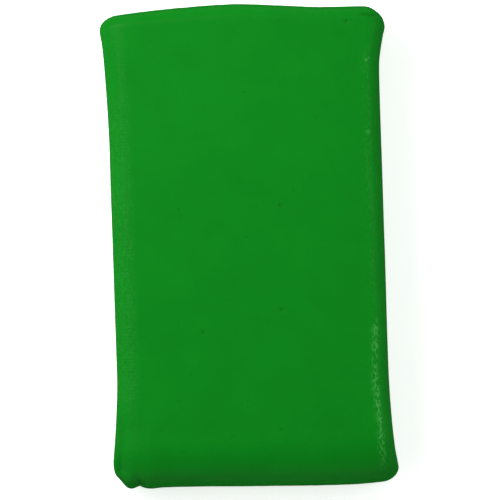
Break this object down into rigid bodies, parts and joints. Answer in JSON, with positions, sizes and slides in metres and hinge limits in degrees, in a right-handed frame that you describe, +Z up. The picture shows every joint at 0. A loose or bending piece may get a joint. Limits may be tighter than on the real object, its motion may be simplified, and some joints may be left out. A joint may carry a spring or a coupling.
{
  "type": "modelling clay block",
  "caption": "Oblong block of soft green modelling compound with rounded long edges, a narrow waist, flared ends, one rolled end and a pushed-in corner; it lies on its flat back.",
  "frame": {"origin": "middle of the block's bounding box, on the flat back that it lies on", "axes": "+Z up through the thickness to the front face, +Y up the length to the crowned end, +X to the right across the width, seen from the front"},
  "size_m": [0.0838, 0.1427, 0.0298],
  "materials": {
    "compound": "satin"
  },
  "bodies": {
    "root": {"compound_block": "compound"}
  },
  "joints": []
}
